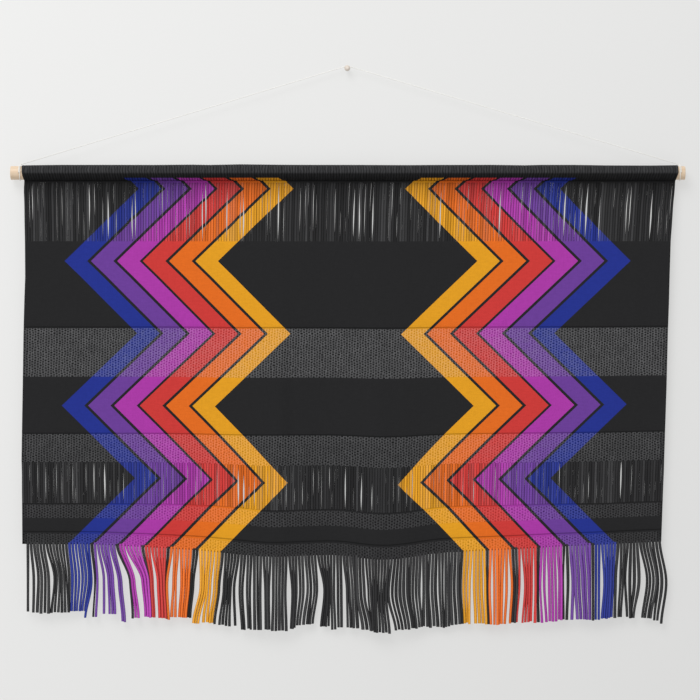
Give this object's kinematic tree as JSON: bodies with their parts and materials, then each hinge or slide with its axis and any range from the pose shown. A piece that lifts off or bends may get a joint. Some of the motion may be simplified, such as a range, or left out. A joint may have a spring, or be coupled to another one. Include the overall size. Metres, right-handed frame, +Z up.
{
  "type": "fringed woven wall hanging on a wooden dowel with a wall peg",
  "caption": "Landscape woven cloth with open warp bands and a cut fringe, sleeved on a round dowel that hangs by a string from a small wall peg.",
  "frame": {"origin": "centre of the peg's flat back, on the wall plane", "axes": "+X along the dowel to the viewer's right, +Y into the wall, +Z up"},
  "size_m": [1.194, 0.0294, 1.0041],
  "materials": {
    "cloth": "woven, matt, black with a printed zigzag of six colours",
    "fringe": "cut yarn, matt",
    "dowel": "sanded, unvarnished pale wood",
    "string": "twisted cotton string, off-white",
    "peg": "turned, satin"
  },
  "bodies": {
    "root": {"cloth": "cloth", "fringe": "fringe", "dowel": "dowel", "string": "string", "peg": "peg"}
  },
  "joints": []
}
